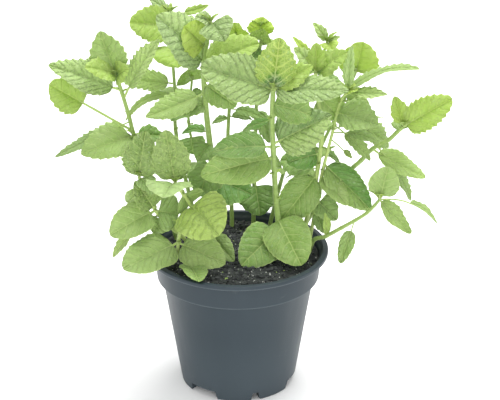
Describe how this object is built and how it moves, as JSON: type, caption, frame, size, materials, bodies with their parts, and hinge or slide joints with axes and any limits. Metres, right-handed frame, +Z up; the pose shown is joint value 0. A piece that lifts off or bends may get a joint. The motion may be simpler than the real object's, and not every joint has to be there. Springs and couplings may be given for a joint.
{
  "type": "potted mint plant",
  "caption": "Bushy mint plant with toothed, wrinkled leaves on square stems, growing from soil in a round tapered nursery pot with a wide lip.",
  "frame": {"origin": "centre of the pot's flat base, on the surface that it stands on", "axes": "+Z up along the pot's axis; -Y towards the viewer of the picture, +X to the viewer's right"},
  "size_m": [0.2595, 0.1612, 0.2594],
  "materials": {
    "pot_plastic": "satin",
    "potting_soil": "rough",
    "mint_leaf": "matte"
  },
  "bodies": {
    "root": {"pot": "pot_plastic", "soil": "potting_soil", "shoot_left_tall": "mint_leaf", "shoot_back_left_tall": "mint_leaf", "shoot_back_left_short": "mint_leaf", "shoot_centre_left_tall": "mint_leaf", "shoot_centre_back": "mint_leaf", "shoot_back_thin": "mint_leaf", "shoot_front_centre": "mint_leaf", "shoot_right_tall": "mint_leaf", "shoot_right_slender": "mint_leaf", "shoot_right_arching": "mint_leaf", "shoot_right_trailing": "mint_leaf", "shoot_left_low": "mint_leaf", "shoot_left_front": "mint_leaf", "shoot_front_left": "mint_leaf", "shoot_back_right_tall": "mint_leaf", "shoot_far_right_back": "mint_leaf"}
  },
  "joints": []
}
